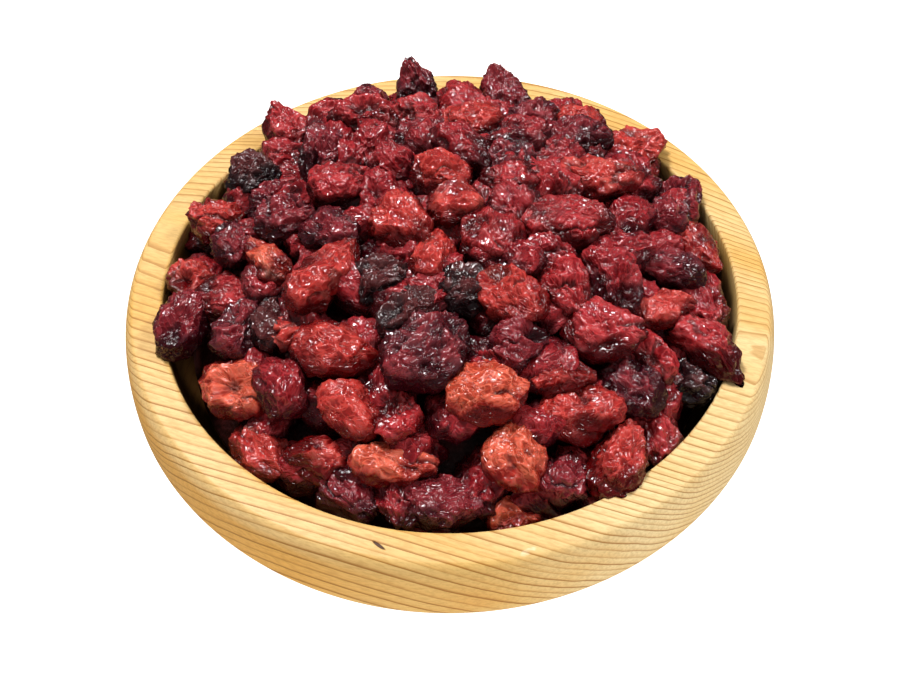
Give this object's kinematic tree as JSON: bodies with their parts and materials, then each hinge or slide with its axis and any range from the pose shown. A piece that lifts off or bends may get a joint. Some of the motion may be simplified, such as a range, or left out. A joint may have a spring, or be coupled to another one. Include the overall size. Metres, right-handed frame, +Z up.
{
  "type": "wooden bowl of dried cherries",
  "caption": "Turned softwood bowl with a thick flat rim and round shoulders, heaped high with wrinkled dark red dried cherries.",
  "frame": {"origin": "centre of the bowl's foot, on the surface that the bowl stands on", "axes": "+Z up along the bowl's turning axis, -Y towards the side that is seen in front, +X to the right of it"},
  "size_m": [0.15, 0.15, 0.0745],
  "materials": {
    "pine_wood": "pale knot-free pine with fine brown growth lines, sanded and satin lacquered",
    "dried_skin": "wrinkled, lightly oiled fruit skin, dark red with crimson, orange-red and near-black fruit"
  },
  "bodies": {
    "root": {"bowl": "pine_wood", "cherry_heap": "dried_skin"}
  },
  "joints": []
}
